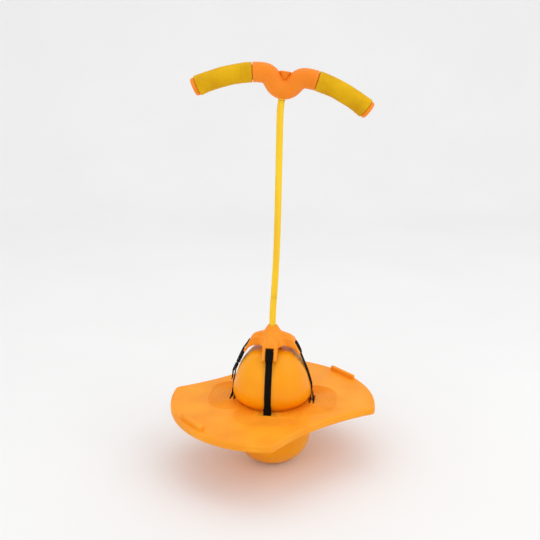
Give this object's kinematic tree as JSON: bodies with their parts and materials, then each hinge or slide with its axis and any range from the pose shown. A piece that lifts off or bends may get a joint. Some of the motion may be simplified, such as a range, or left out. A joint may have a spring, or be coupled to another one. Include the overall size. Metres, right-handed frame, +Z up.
{
  "type": "pogo stick",
  "caption": "Ball-type pogo jumper: a board strapped round the waist of a two-lobed inflated ball, with a crown and an elastic cord up to a curved handlebar.",
  "frame": {"origin": "centre of the ball's flat floor patch, on the floor", "axes": "+Z up; X along the board's long axis, from foot to foot; Y fore and aft"},
  "size_m": [0.428, 0.337, 0.8256],
  "materials": {
    "board_plastic": "satin moulded plastic with tread ridges",
    "crown_plastic": "satin moulded plastic",
    "handle_plastic": "satin moulded plastic",
    "ball_vinyl": "smooth semi-gloss inflated vinyl",
    "cord_rubber": "smooth slightly translucent elastic",
    "grip_foam": "soft matt foam",
    "webbing": "woven polypropylene webbing",
    "buckle_plastic": "fine-textured moulded plastic",
    "screw_steel": "zinc-plated"
  },
  "bodies": {
    "platform": {"deck": "board_plastic", "ball_upper_lobe": "ball_vinyl", "crown": "crown_plastic", "strap_front": "webbing", "strap_right": "webbing", "strap_back": "webbing", "strap_left_upper": "webbing", "strap_left_lower": "webbing", "buckle_socket": "buckle_plastic", "buckle_plug": "buckle_plastic", "cord_anchor_collar": "buckle_plastic", "cord_root_section": "cord_rubber"},
    "ball_bottom": {"ball_lower_lobe": "ball_vinyl"},
    "ball_valve": {"valve_plug": "ball_vinyl"},
    "buckle_front_prong": {"buckle_prong_front": "buckle_plastic"},
    "buckle_rear_prong": {"buckle_prong_rear": "buckle_plastic"},
    "cord_flex": {"cord_flex_section": "cord_rubber"},
    "cord_main": {"cord_main_section": "cord_rubber"},
    "cord_top": {"cord_top_section": "cord_rubber", "cord_top_plug": "handle_plastic"},
    "handlebar": {"handlebar_front_shell": "handle_plastic", "handlebar_rear_shell": "handle_plastic", "handlebar_screw_1": "screw_steel", "handlebar_screw_2": "screw_steel", "handlebar_screw_3": "screw_steel", "handlebar_screw_4": "screw_steel", "grip_left": "grip_foam", "grip_right": "grip_foam", "end_cap_left": "handle_plastic", "end_cap_right": "handle_plastic"}
  },
  "joints": [
    {"name": "ball_bounce", "type": "slide", "parent": "platform", "child": "ball_bottom", "axis": [0, 0, 1], "range_m": [0, 0.035], "stiffness_N_per_m": 15000, "springref_m": -0.003, "deforming": ["ball_lower_lobe"]},
    {"name": "valve_plug_pull", "type": "slide", "parent": "platform", "child": "ball_valve", "axis": [-0.1632, 0.9254, 0.342], "range_m": [0, 0.012]},
    {"name": "buckle_press_front", "type": "hinge", "parent": "platform", "child": "buckle_front_prong", "pos_m": [-0.0566, 0.04472, 0.21807], "axis": [-0.6434, 0.6434, 0.4147], "range_deg": [0, 8], "stiffness_Nm_per_rad": 0.2, "springref_deg": -1.15},
    {"name": "buckle_press_rear", "type": "hinge", "parent": "platform", "child": "buckle_rear_prong", "pos_m": [-0.04472, 0.0566, 0.21807], "axis": [0.6434, -0.6434, -0.4147], "range_deg": [0, 8], "stiffness_Nm_per_rad": 0.2, "springref_deg": -1.15},
    {"name": "cord_lean_side", "type": "hinge", "parent": "platform", "child": "cord_flex", "pos_m": [0, 0, 0.316], "axis": [0, 1, 0], "range_deg": [-30, 30], "stiffness_Nm_per_rad": 6, "springref_deg": -0.32},
    {"name": "cord_lean_fore_aft", "type": "hinge", "parent": "cord_flex", "child": "cord_main", "pos_m": [0.00111, -0.00085, 0.346], "axis": [1, 0, 0], "range_deg": [-30, 30], "stiffness_Nm_per_rad": 6, "springref_deg": -0.24},
    {"name": "cord_stretch", "type": "slide", "parent": "cord_main", "child": "cord_top", "axis": [0.0294, -0.0227, 0.9993], "range_m": [0, 0.2], "stiffness_N_per_m": 400, "springref_m": -0.01, "deforming": ["cord_main_section"]},
    {"name": "handle_twist", "type": "hinge", "parent": "cord_top", "child": "handlebar", "pos_m": [0.01529, -0.01178, 0.775], "axis": [0.1034, -0.0796, 0.9914], "range_deg": [-90, 90], "stiffness_Nm_per_rad": 0.3}
  ]
}
